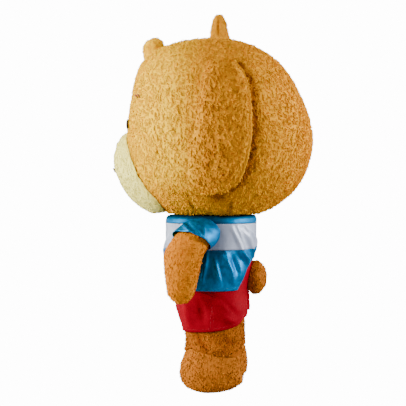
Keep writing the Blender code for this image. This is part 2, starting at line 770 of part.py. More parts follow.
def make_shorts(parts, satin):
    waist = waist_rows()
    hip = waist + [row for row in LEG if CROTCH < row["height"] < SHORTS_FORM_TOP]
    fork = next(row for row in LEG if row["height"] == CROTCH)
    for name, side in (("left", 1), ("right", -1)):
        rings = []
        for row in hip:
            ease = shorts_ease(row["height"])
            dropped = dict(row, height=row["height"] - ease * row["fork"])
            rings.append([shorts_point(dropped, angle, ease) for angle in leg_angles()])
        top = CROTCH - SHORTS_EASE
        rings.append([shorts_point(dict(fork, height=top), a, SHORTS_EASE) for a in leg_angles()])
        for i in range(1, SHORTS_LOWER_ROWS + 1):
            ring = []
            for angle in leg_angles():
                height = top + (edge_height(SHORTS_HEM, angle) - top) * i / SHORTS_LOWER_ROWS
                row = dict(at_height(LEG, height), fork=1.0)
                ring.append(shorts_point(row, angle, SHORTS_EASE))
            rings.append(ring)
        half = loft("shorts_" + name, rings, parts, closed=False, side=side)
        wall(half, SATIN)
        finish(half, satin)


def make_tail(parts, tools, plush):
    """The tail sits on the seat of the shorts."""
    rings = []
    hip = waist_rows() + [row for row in LEG if CROTCH < row["height"] < SHORTS_FORM_TOP]
    for row in hip:
        ease = shorts_ease(row["height"]) + SEAM_GAP
        left = [leg_section(dict(row, fork=0.0), angle, ease) for angle in leg_angles()]
        right = [Vector((-point.x, point.y, point.z)) for point in left[::-1]]
        rings.append(left + right)
    top = (0.0, 0.0, rings[0][0].z)
    bottom = (0.0, 0.0, rings[-1][0].z)
    tool = hide_tool(loft("tool_seat", rings, tools, start=top, end=bottom))
    centre = (0.0, TAIL["y"], TAIL["height"])
    make_pebble("tail", centre, (TAIL["wide"], TAIL["deep"], TAIL["tall"]), parts, tool, plush)


def main():
    clear_scene()
    parts = new_collection(COLLECTION)
    tools = new_collection(COLLECTION + "_cutters")
    frame = bpy.data.objects.new(COLLECTION + "_frame", None)
    parts.objects.link(frame)
    frame.location = (0.0, 0.0, -HOLD_HEIGHT)
    stuff = {name: material(name) for name in COLOURS}
    gold = stuff["gold_plush"]

    head_tool = make_head(parts, tools, gold)
    muzzle_tool = make_muzzle(parts, tools, head_tool, stuff["cream_plush"])
    make_ears(parts, head_tool, gold)
    make_tufts(parts, head_tool, gold)
    make_face(parts, head_tool, muzzle_tool, stuff["black_gloss"], stuff["dark_felt"])

    suit_tool = torso_tool("tool_suit", SUIT, SUIT_COLUMNS, tools, SEAM_GAP)
    shirt_tool = torso_tool("tool_shirt", SHIRT, SHIRT_COLUMNS, tools, SEAM_GAP)
    blue = stuff["blue_satin"]
    suit_holes, shirt_holes = make_arms(parts, tools, suit_tool, shirt_tool, gold, blue)
    make_suit(parts, gold, suit_holes)
    make_shirt(parts, blue, stuff["white_satin"], shirt_holes)
    make_legs(parts, tools, gold)
    make_shorts(parts, stuff["red_satin"])
    make_tail(parts, tools, gold)
    bpy.context.view_layer.update()


main()
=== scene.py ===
# Dog mascot costume, worn and filled out: plush head and suit, satin T-shirt and shorts.
# Metres, z up, the dog looks along -y and its left side is +x. Zero is the middle of the neck hole.
import math

import bpy
import numpy as np
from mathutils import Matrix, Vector, noise
from mathutils.bvhtree import BVHTree
from mathutils.kdtree import KDTree


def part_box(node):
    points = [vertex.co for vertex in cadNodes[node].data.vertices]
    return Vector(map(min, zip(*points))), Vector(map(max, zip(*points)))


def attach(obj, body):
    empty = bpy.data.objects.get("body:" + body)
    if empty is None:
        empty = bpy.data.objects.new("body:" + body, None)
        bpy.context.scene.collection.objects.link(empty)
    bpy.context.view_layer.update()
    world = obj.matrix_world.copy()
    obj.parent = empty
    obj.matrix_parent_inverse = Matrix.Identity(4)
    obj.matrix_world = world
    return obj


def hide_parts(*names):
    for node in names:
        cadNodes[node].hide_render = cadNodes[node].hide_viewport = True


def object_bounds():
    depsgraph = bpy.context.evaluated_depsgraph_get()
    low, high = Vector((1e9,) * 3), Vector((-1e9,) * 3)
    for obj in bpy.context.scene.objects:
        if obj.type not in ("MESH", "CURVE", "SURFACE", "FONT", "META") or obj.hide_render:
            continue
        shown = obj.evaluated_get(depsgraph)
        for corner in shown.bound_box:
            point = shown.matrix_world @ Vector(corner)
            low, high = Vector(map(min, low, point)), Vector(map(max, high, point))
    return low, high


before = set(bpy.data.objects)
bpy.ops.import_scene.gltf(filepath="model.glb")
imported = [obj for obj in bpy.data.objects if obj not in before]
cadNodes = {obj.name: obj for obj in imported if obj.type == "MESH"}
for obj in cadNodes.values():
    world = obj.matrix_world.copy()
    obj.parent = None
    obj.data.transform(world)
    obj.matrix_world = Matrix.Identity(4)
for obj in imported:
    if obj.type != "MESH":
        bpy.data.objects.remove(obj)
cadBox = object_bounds()
soleHeight = cadBox[0][2]
print("frame loaded:", len(cadNodes), "nodes")


# ---- camera, floor and lights
cameraSettings = {
    "aim": (0.0, -0.044, 0.062),
    "distance": 4.7,
    "azimuth": 97.0,
    "elevation": 1.0,
    "sensor": 36.0,
    "lens": 75.77,
}
lightSettings = {
    "key": {"place": (2.0, -4.2, 1.1), "size": 1.6, "power": 430.0, "colour": (1.0, 0.98, 0.88)},
    "side": {"place": (4.2, -2.3, 1.7), "size": 0.6, "power": 105.0, "colour": (1.0, 0.97, 0.92)},
    "back": {"place": (0.7, 4.6, 1.2), "size": 0.9, "power": 350.0, "colour": (1.0, 0.97, 0.92)},
    "low": {"place": (1.6, -3.6, -0.5), "size": 1.2, "power": 34.0, "colour": (1.0, 0.82, 0.66)},
    "rim": {"place": (-2.2, 3.8, 1.0), "size": 1.4, "power": 90.0, "colour": (1.0, 1.0, 1.0)},
    "front": {"place": (-2.8, -3.6, 1.2), "size": 2.0, "power": 80.0, "colour": (1.0, 0.98, 0.95)},
}
lightAim = (0.0, 0.0, 0.1)
worldSettings = {"seen": 14.0, "light": (0.92, 0.95, 1.0, 1.0), "strength": 0.12}
floorSettings = {"size": 60.0, "drop": 0.0005, "colour": (0.30, 0.30, 0.30, 1.0), "roughness": 0.9}


def lookAlong(item, place, target):
    way = Vector(target) - Vector(place)
    item.location = place
    item.rotation_euler = way.to_track_quat("-Z", "Y").to_euler()


def makeCamera():
    turn = math.radians(cameraSettings["azimuth"])
    rise = math.radians(cameraSettings["elevation"])
    aim = Vector(cameraSettings["aim"])
    away = Vector((math.sin(turn) * math.cos(rise), -math.cos(turn) * math.cos(rise), math.sin(rise)))
    bpy.ops.object.camera_add()
    camera = bpy.context.object
    camera.name = "photoCamera"
    lookAlong(camera, aim + away * cameraSettings["distance"], aim)
    camera.data.sensor_width = cameraSettings["sensor"]
    camera.data.lens = cameraSettings["lens"]
    bpy.context.scene.camera = camera


def makeLights():
    for name, settings in lightSettings.items():
        bpy.ops.object.light_add(type="AREA")
        light = bpy.context.object
        light.name = name + "Light"
        light.data.size = settings["size"]
        light.data.energy = settings["power"]
        light.data.color = settings["colour"]
        lookAlong(light, settings["place"], lightAim)


def whiteToCamera(tree, kind, lit, surface):
    # the camera sees plain white paper here, while light meets the other shader
    paper = tree.nodes.new(kind)
    paper.inputs["Color"].default_value = (1.0, 1.0, 1.0, 1.0)
    paper.inputs["Strength"].default_value = worldSettings["seen"]
    path = tree.nodes.new("ShaderNodeLightPath")
    mix = tree.nodes.new("ShaderNodeMixShader")
    tree.links.new(path.outputs["Is Camera Ray"], mix.inputs[0])
    tree.links.new(lit.outputs[0], mix.inputs[1])
    tree.links.new(paper.outputs[0], mix.inputs[2])
    tree.links.new(mix.outputs[0], surface)


def makeWorld():
    world = bpy.data.worlds.new("studio")
    bpy.context.scene.world = world
    world.use_nodes = True
    tree = world.node_tree
    tree.nodes.clear()
    around = tree.nodes.new("ShaderNodeBackground")
    around.inputs["Color"].default_value = worldSettings["light"]
    around.inputs["Strength"].default_value = worldSettings["strength"]
    leave = tree.nodes.new("ShaderNodeOutputWorld")
    whiteToCamera(tree, "ShaderNodeBackground", around, leave.inputs["Surface"])


def makeFloor():
    depth = soleHeight - floorSettings["drop"]
    bpy.ops.mesh.primitive_plane_add(size=floorSettings["size"], location=(0, 0, depth))
    floor = bpy.context.object
    floor.name = "studioFloor"
    paint = bpy.data.materials.new("paleFloor")
    paint.use_nodes = True
    tree = paint.node_tree
    shader = tree.nodes["Principled BSDF"]
    shader.inputs["Base Color"].default_value = floorSettings["colour"]
    shader.inputs["Roughness"].default_value = floorSettings["roughness"]
    whiteToCamera(tree, "ShaderNodeEmission", shader, tree.nodes["Material Output"].inputs["Surface"])
    floor.data.materials.append(paint)


makeCamera()
makeLights()
makeWorld()
makeFloor()
print("camera, floor and lights made")


# ---- tools that shape the pieces
def selectOnly(piece):
    bpy.ops.object.select_all(action="DESELECT")
    piece.select_set(True)
    bpy.context.view_layer.objects.active = piece


def linkPiece(name, data):
    piece = bpy.data.objects.new(name, data)
    bpy.context.scene.collection.objects.link(piece)
    selectOnly(piece)
    return piece


copySettings = {"weld": 0.00002, "flatQuad": 30.0, "squareQuad": 50.0, "smooth": 50.0}


def nodeCopy(name, node, levels=2, edgeAngle=38.0):
    # a finer copy of a solid, which stays crisp along its sharp edges
    piece = linkPiece(name, cadNodes[node].data.copy())
    piece.data.materials.clear()
    bpy.ops.object.mode_set(mode="EDIT")
    bpy.ops.mesh.select_all(action="SELECT")
    bpy.ops.mesh.remove_doubles(threshold=copySettings["weld"])
    bpy.ops.mesh.tris_convert_to_quads(
        face_threshold=math.radians(copySettings["flatQuad"]), shape_threshold=math.radians(copySettings["squareQuad"])
    )
    bpy.ops.mesh.select_all(action="DESELECT")
    bpy.ops.mesh.select_mode(type="EDGE")
    bpy.ops.mesh.edges_select_sharp(sharpness=math.radians(edgeAngle))
    bpy.ops.transform.edge_crease(value=1.0)
    bpy.ops.mesh.select_mode(type="VERT")
    bpy.ops.object.mode_set(mode="OBJECT")
    finer = piece.modifiers.new("finer", "SUBSURF")
    finer.levels = finer.render_levels = levels
    bpy.ops.object.modifier_apply(modifier=finer.name)
    bpy.ops.object.shade_smooth_by_angle(angle=math.radians(copySettings["smooth"]))
    return piece


def readVectors(mesh, field):
    values = np.empty(len(mesh.vertices) * 3)
    mesh.vertices.foreach_get(field, values)
    return values.reshape(-1, 3)


def setPoints(mesh, points):
    mesh.vertices.foreach_set("co", points.reshape(-1))
    mesh.update()


def unit(vectors):
    return vectors / np.maximum(np.linalg.norm(vectors, axis=1), 1e-9)[:, None]


def onLine(points, line):
    # for each point, the gap to a bent line, the share of the line's length there, and the spot
    line = np.array(line, float)
    spans = np.diff(line, axis=0)
    lengths = np.linalg.norm(spans, axis=1)
    starts = np.concatenate([[0.0], np.cumsum(lengths)])
    gaps = np.full(len(points), np.inf)
    places = np.zeros(len(points))
    spots = np.zeros_like(points)
    for i, span in enumerate(spans):
        share = np.clip((points - line[i]) @ span / (span @ span), 0.0, 1.0)
        spot = line[i] + share[:, None] * span
        gap = np.linalg.norm(points - spot, axis=1)
        closer = gap < gaps
        gaps[closer] = gap[closer]
        places[closer] = (starts[i] + share[closer] * lengths[i]) / starts[-1]
        spots[closer] = spot[closer]
    return gaps, places, spots


def outFrom(points, line):
    return unit(points - onLine(points, line)[2])


faceAxes = {
    "left": ((1, 2), (1.0, 0.0, 0.0)),
    "right": ((1, 2), (-1.0, 0.0, 0.0)),
    "front": ((0, 2), (0.0, -1.0, 0.0)),
    "back": ((0, 2), (0.0, 1.0, 0.0)),
}


foldSettings = {"least": 0.05, "span": 0.35, "ends": (0.03, 0.97), "fade": 0.7}


def foldHeights(points, outward, folds):
    # how far each fold lifts the cloth: round in section, fading out at its ends
    total = np.zeros(len(points))
    for fold in folds:
        axes, way = faceAxes[fold["face"]]
        gap, place, spot = onLine(points[:, axes], fold["line"])
        facing = np.clip((outward @ np.array(way) - foldSettings["least"]) / foldSettings["span"], 0.0, 1.0)
        ends = np.sin(math.pi * np.clip(place, *foldSettings["ends"])) ** foldSettings["fade"]
        total += fold["rise"] * facing * ends * np.exp(-((gap / fold["width"]) ** 2))
    return total


def foldRows(face, *values):
    return [{"face": face, "width": width, "rise": rise, "line": line} for width, rise, line in values]


def lumps(points, scale, seed):
    shift = Vector((seed * 3.1, seed * 1.7, seed * 0.9))
    return np.array([noise.noise(Vector(point) * scale + shift) for point in points])


# ---- materials
def addNode(tree, kind, **values):
    node = tree.nodes.new(kind)
    for name, value in values.items():
        node.inputs[name].default_value = value
    return node


def newGroup(name, inputs, outputs):
    # a colour is four numbers, anything else is one
    group = bpy.data.node_groups.new(name, "ShaderNodeTree")
    for socketName, value in inputs.items():
        kind = "NodeSocketFloat" if isinstance(value, float) else "NodeSocketColor"
        group.interface.new_socket(name=socketName, in_out="INPUT", socket_type=kind).default_value = value
    for socketName, kind in outputs.items():
        group.interface.new_socket(name=socketName, in_out="OUTPUT", socket_type=kind)
    return group, group.nodes.new("NodeGroupInput"), group.nodes.new("NodeGroupOutput")


def feed(tree, socket, value):
    if isinstance(value, bpy.types.NodeSocket):
        tree.links.new(value, socket)
    else:
        socket.default_value = value


def mixColour(tree, factor, first, second):
    mix = tree.nodes.new("ShaderNodeMix")
    mix.data_type = "RGBA"
    for index, value in ((0, factor), (6, first), (7, second)):
        feed(tree, mix.inputs[index], value)
    return mix.outputs[2]


def mathNode(tree, operation, first, second):
    node = tree.nodes.new("ShaderNodeMath")
    node.operation = operation
    feed(tree, node.inputs[0], first)
    feed(tree, node.inputs[1], second)
    return node.outputs[0]


def spanNode(tree, value, low, high):
    # 0 below low, 1 above high, also where low is the larger
    span = tree.nodes.new("ShaderNodeMapRange")
    for socket, source in zip(span.inputs, (value, low, high, 0.0, 1.0)):
        feed(tree, socket, source)
    return span.outputs[0]


# painted light: one range along y sets where the front of the head is painted paler, one along z where painted shade
# under the chin takes that back
napShading = {"fleck": 0.50, "dim": 0.25, "forward": (0.03, -0.15), "chin": (0.05, 0.21), "patch": 0.25}
satinShading = {"waver": 0.6, "spread": 0.16, "fine": 0.05}


def makeNapGroup():
    inputs = {
        "Root": (0.1, 0.03, 0.005, 1.0), "Tip": (0.8, 0.5, 0.1, 1.0), "Patch": (0.6, 0.3, 0.05, 1.0),
        # painted light: the front colours and their share are the paler, yellower pile painted where the main lamp
        # falls on the front of the head
        "Face Root": (0.5, 0.25, 0.02, 1.0), "Face Tip": (0.9, 0.6, 0.1, 1.0), "Face Share": 0.0,
        "Patch Scale": 6.0, "Curl Scale": 120.0,
    }
    outputs = {"Colour": "NodeSocketColor", "Height": "NodeSocketFloat"}
    group, entry, leave = newGroup("napColour", inputs, outputs)
    links = group.links
    spot = group.nodes.new("ShaderNodeTexCoord")
    # the tone attribute carries the pile's own random tone together with painted light and shade
    tone = group.nodes.new("ShaderNodeAttribute")
    tone.attribute_name = "napTone"
    curls = addNode(group, "ShaderNodeTexNoise", Detail=3.0, Roughness=0.6)
    links.new(spot.outputs["Object"], curls.inputs["Vector"])
    links.new(entry.outputs["Curl Scale"], curls.inputs["Scale"])
    patches = addNode(group, "ShaderNodeTexNoise", Detail=2.0)
    links.new(spot.outputs["Object"], patches.inputs["Vector"])
    links.new(entry.outputs["Patch Scale"], patches.inputs["Scale"])
    flecks = mathNode(group, "MULTIPLY", curls.outputs["Fac"], napShading["fleck"])
    mixed = mathNode(group, "ADD", tone.outputs["Fac"], flecks)
    shade = mathNode(group, "SUBTRACT", mixed, napShading["dim"])
    # painted light: the pile is painted paler and yellower towards the front of the head, where the main lamp falls,
    # and under the chin this fades out again as painted shade
    place = group.nodes.new("ShaderNodeSeparateXYZ")
    links.new(spot.outputs["Object"], place.inputs[0])
    forward = spanNode(group, place.outputs["Y"], *napShading["forward"])
    chin = spanNode(group, place.outputs["Z"], *napShading["chin"])
    above = mathNode(group, "MULTIPLY", forward, chin)
    face = mathNode(group, "MULTIPLY", above, entry.outputs["Face Share"])
    root = mixColour(group, face, entry.outputs["Root"], entry.outputs["Face Root"])
    tip = mixColour(group, face, entry.outputs["Tip"], entry.outputs["Face Tip"])
    body = mixColour(group, shade, root, tip)
    strength = mathNode(group, "MULTIPLY", patches.outputs["Fac"], napShading["patch"])
    final = mixColour(group, strength, body, entry.outputs["Patch"])
    links.new(final, leave.inputs["Colour"])
    links.new(curls.outputs["Fac"], leave.inputs["Height"])
    return group


def makeSatinGroup():
    inputs = {
        "Thread": (0.0, 0.2, 0.5, 1.0), "Float": (0.0, 0.3, 0.6, 1.0), "Shaded": (0.0, 0.01, 0.03, 1.0),
        "Thread Scale": 420.0, "Crinkle Scale": 26.0, "Least Roughness": 0.25,
    }
    outputs = {"Colour": "NodeSocketColor", "Roughness": "NodeSocketFloat", "Height": "NodeSocketFloat"}
    group, entry, leave = newGroup("satinWeave", inputs, outputs)
    links = group.links
    spot = group.nodes.new("ShaderNodeTexCoord")
    threads = group.nodes.new("ShaderNodeTexWave")
    threads.wave_type = "BANDS"
    threads.bands_direction = "Z"
    threads.inputs["Distortion"].default_value = satinShading["waver"]
    links.new(spot.outputs["Object"], threads.inputs["Vector"])
    links.new(entry.outputs["Thread Scale"], threads.inputs["Scale"])
    crinkle = addNode(group, "ShaderNodeTexNoise", Detail=5.0, Roughness=0.55, Distortion=0.8)
    links.new(spot.outputs["Object"], crinkle.inputs["Vector"])
    links.new(entry.outputs["Crinkle Scale"], crinkle.inputs["Scale"])
    weave = mixColour(group, crinkle.outputs["Fac"], entry.outputs["Thread"], entry.outputs["Float"])
    # painted shade: the clothShade attribute darkens the weave towards the Shaded colour under the head and beside the
    # arms
    paintedShade = group.nodes.new("ShaderNodeAttribute")
    paintedShade.attribute_name = "clothShade"
    links.new(mixColour(group, paintedShade.outputs["Fac"], weave, entry.outputs["Shaded"]), leave.inputs["Colour"])
    spread = mathNode(group, "MULTIPLY", crinkle.outputs["Fac"], satinShading["spread"])
    links.new(mathNode(group, "ADD", spread, entry.outputs["Least Roughness"]), leave.inputs["Roughness"])
    fine = mathNode(group, "MULTIPLY", threads.outputs["Fac"], satinShading["fine"])
    links.new(mathNode(group, "ADD", fine, crinkle.outputs["Fac"]), leave.inputs["Height"])
    return group


plushColours = {
    "goldPlush": {
        "Root": (0.30, 0.075, 0.003, 1.0), "Tip": (0.98, 0.465, 0.012, 1.0), "Patch": (0.88, 0.39, 0.008, 1.0),
        # painted light: the paler, yellower front colours stand for the main lamp falling on the front of the head
        "Face Root": (0.84, 0.42, 0.002, 1.0), "Face Tip": (1.0, 0.65, 0.004, 1.0), "Face Share": 1.0,
        "Patch Scale": 5.0, "Curl Scale": 110.0,
    },
    "amberPlush": {
        "Root": (0.34, 0.085, 0.003, 1.0), "Tip": (0.95, 0.350, 0.012, 1.0), "Patch": (0.82, 0.27, 0.008, 1.0),
        "Patch Scale": 6.0, "Curl Scale": 110.0,
    },
    "creamPlush": {
        "Root": (0.92, 0.80, 0.16, 1.0), "Tip": (1.0, 0.95, 0.32, 1.0), "Patch": (1.0, 0.92, 0.26, 1.0),
        "Patch Scale": 4.0, "Curl Scale": 160.0,
    },
    "tanPlush": {
        "Root": (0.22, 0.045, 0.003, 1.0), "Tip": (0.74, 0.262, 0.026, 1.0), "Patch": (0.55, 0.17, 0.014, 1.0),
        "Patch Scale": 7.0, "Curl Scale": 110.0,
    },
}
# each Shaded colour is the painted shade that the clothShade attribute mixes in
satinColours = {
    "blueSatin": {
        "Thread": (0.0, 0.050, 0.150, 1.0), "Float": (0.0, 0.310, 0.740, 1.0), "Shaded": (0.0, 0.012, 0.035, 1.0),
        "Crinkle Scale": 22.0, "Least Roughness": 0.44,
    },
    "whiteSatin": {
        "Thread": (0.34, 0.40, 0.56, 1.0), "Float": (0.54, 0.61, 0.80, 1.0), "Shaded": (0.16, 0.19, 0.28, 1.0),
        "Crinkle Scale": 20.0, "Least Roughness": 0.30,
    },
    "redSatin": {
        "Thread": (0.17, 0.0, 0.006, 1.0), "Float": (0.33, 0.0, 0.012, 1.0), "Shaded": (0.05, 0.0, 0.002, 1.0),
        "Crinkle Scale": 16.0, "Least Roughness": 0.52,
    },
}
shaderSettings = {
    "plush": {"Roughness": 0.92, "Specular IOR Level": 0.02, "Sheen Weight": 0.08, "Sheen Roughness": 0.45},
    "blueSatin": {"Specular IOR Level": 0.30, "Specular Tint": (0.15, 0.75, 1.0, 1.0), "Metallic": 0.85},
    "whiteSatin": {"Specular IOR Level": 0.45, "Specular Tint": (0.90, 0.95, 1.0, 1.0), "Metallic": 0.12},
    "redSatin": {"Specular IOR Level": 0.04, "Specular Tint": (1.0, 0.20, 0.20, 1.0), "Metallic": 0.0},
}
bumpSettings = {  # strength and depth
    "plush": (0.35, 0.004),
    "satin": (0.30, 0.003),
}
plainSettings = {  # colour, roughness, grain, depth of the grain
    "eyeGloss": ((0.012, 0.010, 0.009), 0.12, 40.0, 0.0002),
    "noseFelt": ((0.045, 0.022, 0.016), 0.85, 260.0, 0.0008),
    "browThread": ((0.26, 0.045, 0.014), 0.60, 500.0, 0.0006),
    "mouthThread": ((0.11, 0.045, 0.018), 0.60, 500.0, 0.0006),
    "blueThread": ((0.02, 0.30, 0.55), 0.45, 500.0, 0.0004),
    "redThread": ((0.50, 0.01, 0.02), 0.45, 500.0, 0.0004),
}
plainShading = {"dark": 0.55, "bump": 0.4}


def newMaterial(name, values):
    made = bpy.data.materials.new(name)
    made.use_nodes = True
    shader = made.node_tree.nodes["Principled BSDF"]
    for key, value in values.items():
        shader.inputs[key].default_value = value
    return made.node_tree, shader


def addBump(tree, shader, height, strength, depth):
    bump = addNode(tree, "ShaderNodeBump", Strength=strength, Distance=depth)
    tree.links.new(height, bump.inputs["Height"])
    tree.links.new(bump.outputs["Normal"], shader.inputs["Normal"])


def groupMaterial(name, group, colours, values, bump):
    tree, shader = newMaterial(name, values)
    node = tree.nodes.new("ShaderNodeGroup")
    node.node_tree = group
    for key, value in colours.items():
        node.inputs[key].default_value = value
    tree.links.new(node.outputs["Colour"], shader.inputs["Base Color"])
    if "Roughness" in node.outputs:
        tree.links.new(node.outputs["Roughness"], shader.inputs["Roughness"])
    addBump(tree, shader, node.outputs["Height"], *bump)


def plainMaterial(name, colour, roughness, grain, depth):
    tree, shader = newMaterial(name, {"Roughness": roughness})
    spot = tree.nodes.new("ShaderNodeTexCoord")
    speckle = addNode(tree, "ShaderNodeTexNoise", Scale=grain, Detail=4.0)
    tree.links.new(spot.outputs["Object"], speckle.inputs["Vector"])
    darker = tuple(plainShading["dark"] * part for part in colour)
    mixed = mixColour(tree, speckle.outputs["Fac"], (*darker, 1.0), (*colour, 1.0))
    tree.links.new(mixed, shader.inputs["Base Color"])
    addBump(tree, shader, speckle.outputs["Fac"], plainShading["bump"], depth)


napGroup = makeNapGroup()
satinGroup = makeSatinGroup()
for name, colours in plushColours.items():
    values = {**shaderSettings["plush"], "Sheen Tint": colours["Tip"]}
    groupMaterial(name, napGroup, colours, values, bumpSettings["plush"])
for name, colours in satinColours.items():
    groupMaterial(name, satinGroup, colours, shaderSettings[name], bumpSettings["satin"])
for name, values in plainSettings.items():
    plainMaterial(name, *values)
print("materials made")


# ---- nap: short curled tufts of pile, one mesh for each piece
def solidTree(names):
    points = []
    faces = []
    for name in names:
        mesh = cadNodes[name].data
        start = len(points)
        points.extend(vertex.co.copy() for vertex in mesh.vertices)
        faces.extend([start + index for index in polygon.vertices] for polygon in mesh.polygons)
    return BVHTree.FromPolygons(points, faces)


def gapTo(tree, points, reach):
    gaps = np.full(len(points), reach)
    for i, spot in enumerate(points):
        near = tree.find_nearest(Vector(spot), reach)
        if near[3] is not None:
            gaps[i] = near[3]
    return gaps


def setShade(mesh, name, values):
    shade = mesh.attributes.new(name, "FLOAT", "POINT")
    shade.data.foreach_set("value", values)


def lockOf(place, share, rng):
    # the tuft that leads each tuft's lock of pile
    leads = rng.choice(len(place), max(1, int(len(place) * share)), replace=False)
    tree = KDTree(len(leads))
    squat = place * np.array(pileSettings["lockShape"])
    for lead in leads:
        tree.insert(Vector(squat[lead]), int(lead))
    tree.balance()
    return np.array([tree.find(Vector(spot))[1] for spot in squat])


def scatterRoots(base, settings, keep, node, rng):
    # random places on the faces that keep lets through, and out of them, where no other solid is close
    others = solidTree([other for other in cadNodes if other != node])
    mesh = base.data
    mesh.calc_loop_triangles()
    corners = np.empty(len(mesh.loop_triangles) * 3, np.int64)
    mesh.loop_triangles.foreach_get("vertices", corners)
    corners = corners.reshape(-1, 3)
    points = readVectors(mesh, "co")
    a, b, c = (points[corners[:, i]] for i in range(3))
    cross = np.cross(b - a, c - a)
    area = np.linalg.norm(cross, axis=1) / 2 * keep((a + b + c) / 3, unit(cross))
    count = int(area.sum() * settings["density"])
    chosen = corners[rng.choice(len(area), count, p=area / area.sum())]
    u, v = rng.random((2, count))
    flip = u + v > 1
    u[flip], v[flip] = 1 - u[flip], 1 - v[flip]
    weights = np.stack([1 - u - v, u, v], axis=1)
    place = np.einsum("ij,ijk->ik", weights, points[chosen])
    up = unit(np.einsum("ij,ijk->ik", weights, readVectors(mesh, "normal")[chosen]))
    free = np.ones(count, bool)
    for i in range(count):
        start = Vector(place[i] + up[i] * pileSettings["clear"])
        free[i] = others.ray_cast(start, Vector(up[i]), settings["room"])[0] is None
    return place[free], up[free]


def repeatShape(name, rings, pattern):
    # one small closed shape at each place: rings hold its corners, pattern its triangles
    corners = np.stack(rings, axis=1)
    count, size = corners.shape[:2]
    faces = (np.arange(count)[:, None, None] * size + np.array(pattern)[None]).reshape(-1)
    mesh = bpy.data.meshes.new(name)
    mesh.vertices.add(count * size)
    mesh.vertices.foreach_set("co", corners.reshape(-1))
    mesh.loops.add(len(faces))
    mesh.loops.foreach_set("vertex_index", faces)
    mesh.polygons.add(len(faces) // 3)
    mesh.polygons.foreach_set("loop_start", np.arange(0, len(faces), 3))
    mesh.update(calc_edges=True)
    mesh.shade_smooth()
    return mesh


tuftPattern = ((0, 2, 1), (0, 3, 2), (0, 1, 3), (1, 2, 4), (2, 3, 4), (3, 1, 4))  # root, three at the belly, tip
pileSettings = {
    "tones": (0.75, 0.75, 0.75, 1.15), "belly": 0.55, "flatness": 0.7, "drop": 0.06,
    "ruffle": 0.15, "curl": 0.30, "leanSpread": 0.25, "leanRange": (0.5, 1.40),
    "lengths": (0.65, 1.25), "widths": (0.7, 1.25), "mottleScale": 70.0, "mottle": 0.18,
    "clear": 0.0004, "lockShape": (1.0, 1.0, 0.4), "turnShares": (0.8, 0.3), "shares": (0.8, 0.2),
}


def blend(values, lock, shares):
    # the first share comes from the tuft that leads the lock, the second is a tuft's own
    return shares[0] * values[lock] + shares[1] * values


def growNap(name, base, settings, keep, node, paintedLightAt):
    # tufts lie along the comb and gather in locks; each leans, strays and curls by its own draw
    rng = np.random.default_rng(settings["seed"])
    place, up = scatterRoots(base, settings, keep, node, rng)
    count = len(place)
    down = np.array(settings["comb"], float)
    tangent = down - (up @ down)[:, None] * up
    tangent += pileSettings["ruffle"] * rng.normal(size=(count, 3))
    tangent = unit(tangent - np.einsum("ij,ij->i", tangent, up)[:, None] * up)
    across = np.cross(up, tangent)
    lock = lockOf(place, settings["locks"], rng)
    turn = rng.normal(0.0, settings["stray"], count)
    turn = blend(turn, lock, pileSettings["turnShares"])
    way = tangent * np.cos(turn)[:, None] + across * np.sin(turn)[:, None]
    side = np.cross(up, way)
    lean = rng.normal(settings["lean"], pileSettings["leanSpread"], count)
    lean = np.clip(blend(lean, lock, pileSettings["shares"]), *pileSettings["leanRange"])
    axis = up * np.cos(lean)[:, None] + way * np.sin(lean)[:, None]
    lift = pileSettings["flatness"] * np.cross(side, axis)
    long = settings["length"] * rng.uniform(*pileSettings["lengths"], count)[:, None]
    half = settings["width"] / 2 * rng.uniform(*pileSettings["widths"], count)[:, None]
    curl = rng.normal(0.0, pileSettings["curl"], count)[:, None]
    root = place - up * settings["sink"]
    belly = root + axis * pileSettings["belly"] * long
    tip = root + (axis + side * curl - up * pileSettings["drop"]) * long
    tip += settings["gather"] * (tip[lock] - tip)
    turns = [2 * math.pi * step / 3 for step in range(3)]
    around = [belly + (side * math.cos(turn) - lift * math.sin(turn)) * half for turn in turns]
    nap = repeatShape(name, [root, *around, tip], tuftPattern)
    shade = blend(rng.uniform(*settings["tone"], count), lock, pileSettings["shares"])
    # painted light and shade from the piece's own function shift each tuft's tone
    if paintedLightAt:
        shade = shade + paintedLightAt(place)
    tones = shade[:, None] * np.array([settings["root"], *pileSettings["tones"]])
    setShade(nap, "napTone", tones.reshape(-1))
    print("  nap", name, count, "tufts")
    return linkPiece(name, nap)


def finishPiece(piece, material, *replaced):
    piece.data.materials.clear()
    piece.data.materials.append(bpy.data.materials[material])
    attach(piece, "root")
    if replaced:
        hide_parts(*replaced)
    return piece


fineWaves = {"height": 0.4, "scale": 3}  # against the main waves


def shapeCloth(piece, axis, folds, wave=0.0, waveScale=12.0, inset=0.0, seed=1, gain=1.0):
    # moves both faces of a wall alike, so that its thickness stays
    points = readVectors(piece.data, "co")
    outward = outFrom(points, axis)
    move = gain * foldHeights(points, outward, folds) - inset
    if wave:
        move += wave * lumps(points, waveScale, seed) 
        move += fineWaves["height"] * wave * lumps(points, fineWaves["scale"] * waveScale, seed + 1)
    setPoints(piece.data, points + outward * move[:, None])


def plushTone(piece, level, seed, paintedLightAt=None):
    points = readVectors(piece.data, "co")
    tones = level + pileSettings["mottle"] * lumps(points, pileSettings["mottleScale"], seed)
    # painted light and shade from the piece's own function shift the cloth's tone
    if paintedLightAt:
        tones += paintedLightAt(points)
    setShade(piece.data, "napTone", tones)


def coverPiece(base, node, material, settings, keep, paintedLightAt=None, index=0):
    # colours the cloth of a plush piece, then grows its nap
    plushTone(base, settings["level"], settings["toneSeed"], paintedLightAt)
    finishPiece(base, material, node)
    pile = {**settings["nap"], "seed": settings["nap"]["seed"] + index}
    nap = growNap(base.name.replace("Plush", "Nap"), base, pile, keep, node, paintedLightAt)
    return finishPiece(nap, material)


creaseWidth = 0.8  # of the fold's own
outerLeast = 0.1


